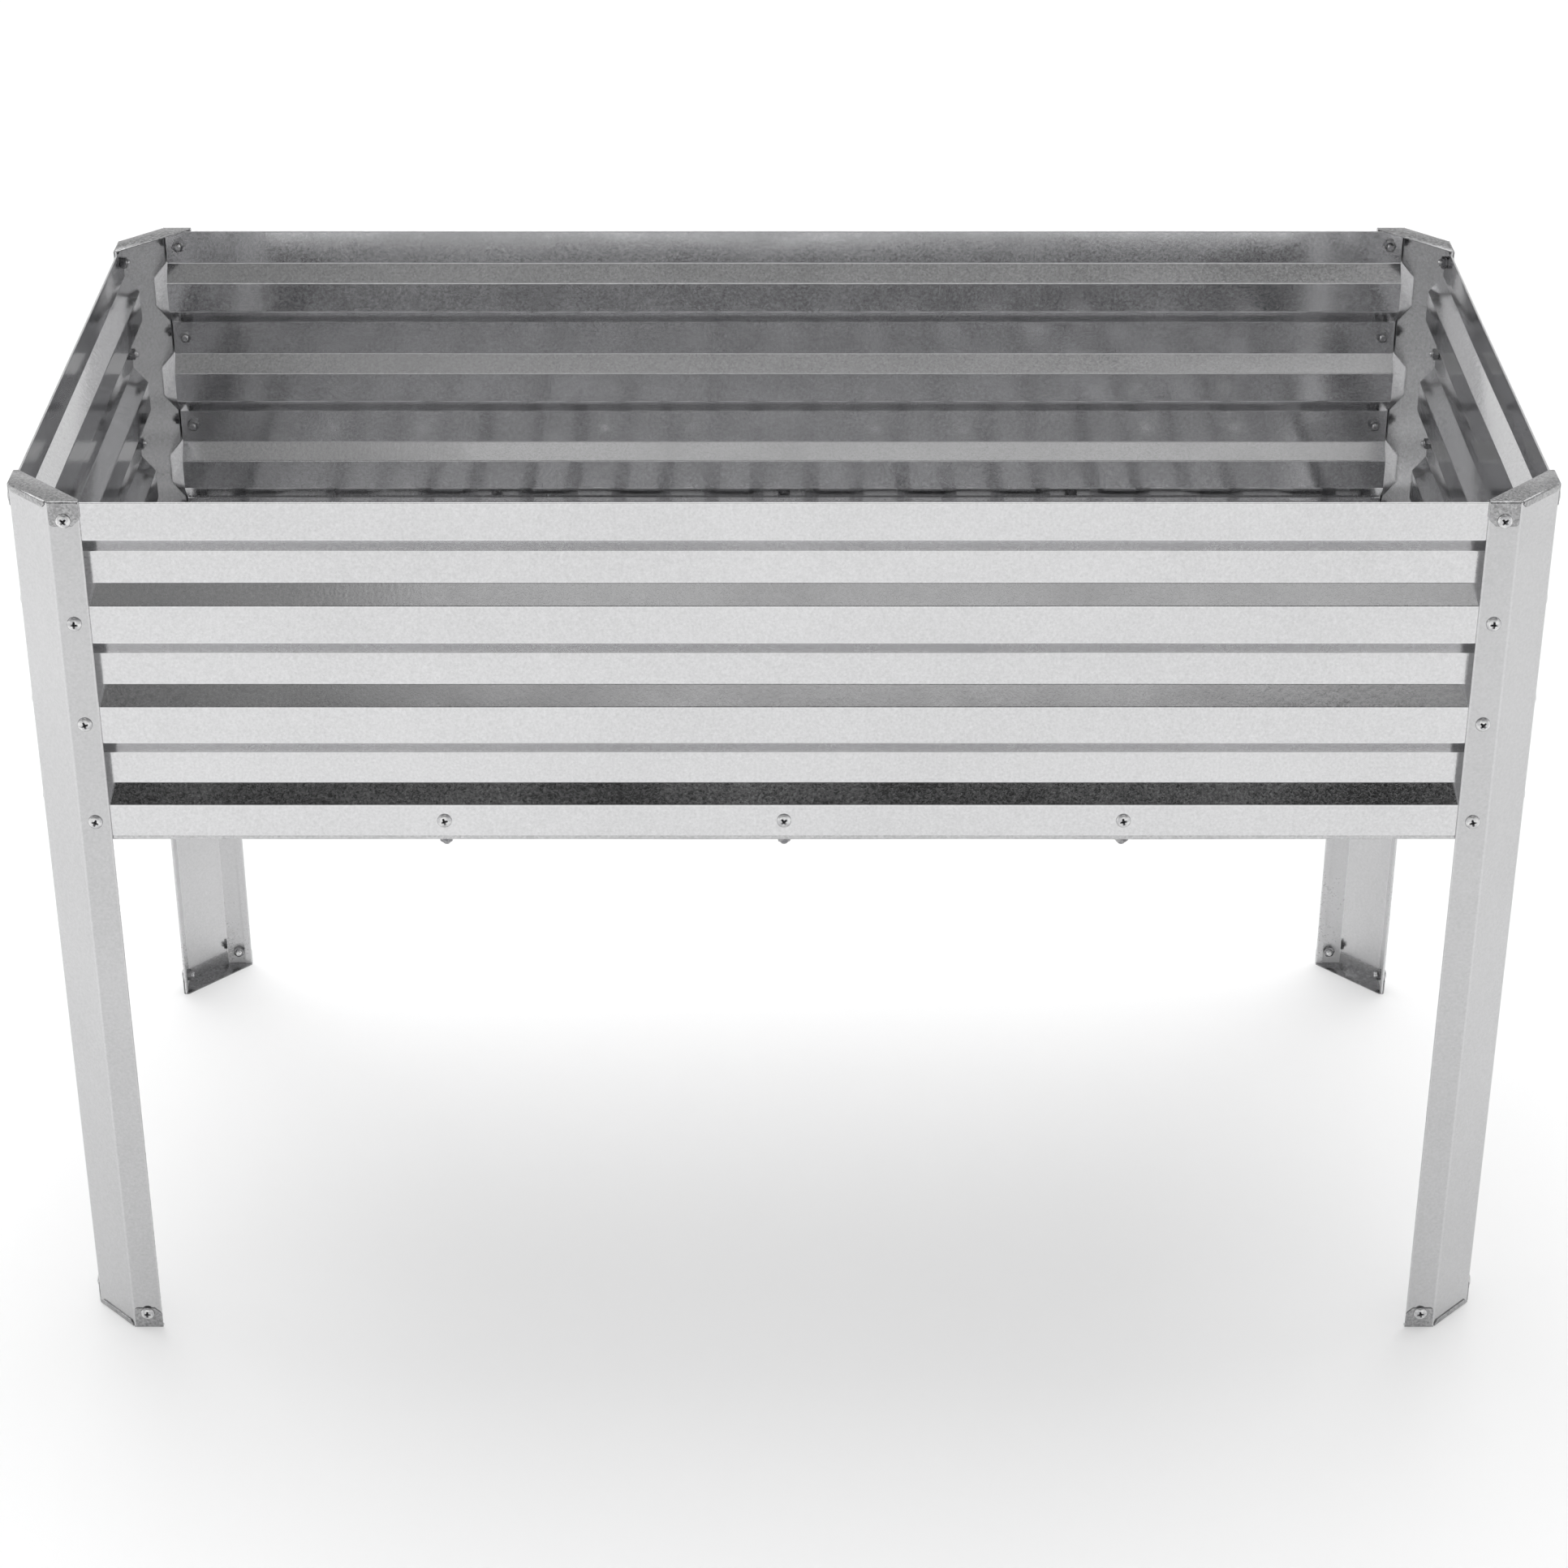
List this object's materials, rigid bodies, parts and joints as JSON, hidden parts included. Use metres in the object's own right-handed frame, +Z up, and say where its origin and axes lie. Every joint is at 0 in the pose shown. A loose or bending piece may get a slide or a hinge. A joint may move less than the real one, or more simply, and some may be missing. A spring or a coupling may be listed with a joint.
{
  "type": "raised planter on legs",
  "caption": "Raised garden planter: an open trough of ribbed sheet-steel walls on full-height chamfered corner legs, bolted together over a ribbed floor on rails and crossbars.",
  "frame": {"origin": "middle of the footprint, on the ground", "axes": "+X along the planter's length, +Y from the front wall to the back wall, +Z up"},
  "size_m": [1.228, 0.618, 0.8],
  "materials": {
    "galvanised_sheet": "hot-dip galvanised, semi-gloss, fine spangle",
    "galvanised_stamping": "galvanised, duller, coarse spangle with drawing marks",
    "zinc_hardware": "bright zinc plate"
  },
  "bodies": {
    "root": {"leg_front_left": "galvanised_sheet", "leg_front_right": "galvanised_sheet", "leg_back_left": "galvanised_sheet", "leg_back_right": "galvanised_sheet", "panel_front": "galvanised_sheet", "panel_back": "galvanised_sheet", "panel_left": "galvanised_sheet", "panel_right": "galvanised_sheet", "top_cap_front_left": "galvanised_stamping", "top_cap_front_right": "galvanised_stamping", "top_cap_back_left": "galvanised_stamping", "top_cap_back_right": "galvanised_stamping", "foot_cap_front_left": "galvanised_stamping", "foot_cap_front_right": "galvanised_stamping", "foot_cap_back_left": "galvanised_stamping", "foot_cap_back_right": "galvanised_stamping", "rail_front": "galvanised_stamping", "rail_back": "galvanised_stamping", "rail_left": "galvanised_stamping", "rail_right": "galvanised_stamping", "crossbar_left": "galvanised_stamping", "crossbar_middle": "galvanised_stamping", "crossbar_right": "galvanised_stamping", "floor_sheet_1": "galvanised_sheet", "floor_sheet_2": "galvanised_sheet", "floor_sheet_3": "galvanised_sheet", "floor_sheet_4": "galvanised_sheet", "leg_screws_front_left": "zinc_hardware", "leg_screws_front_right": "zinc_hardware", "leg_screws_back_left": "zinc_hardware", "leg_screws_back_right": "zinc_hardware", "leg_nuts_front_left": "zinc_hardware", "leg_nuts_front_right": "zinc_hardware", "leg_nuts_back_left": "zinc_hardware", "leg_nuts_back_right": "zinc_hardware", "rail_screws": "zinc_hardware", "rail_nuts": "zinc_hardware", "floor_screws": "zinc_hardware", "floor_nuts": "zinc_hardware"}
  },
  "joints": []
}
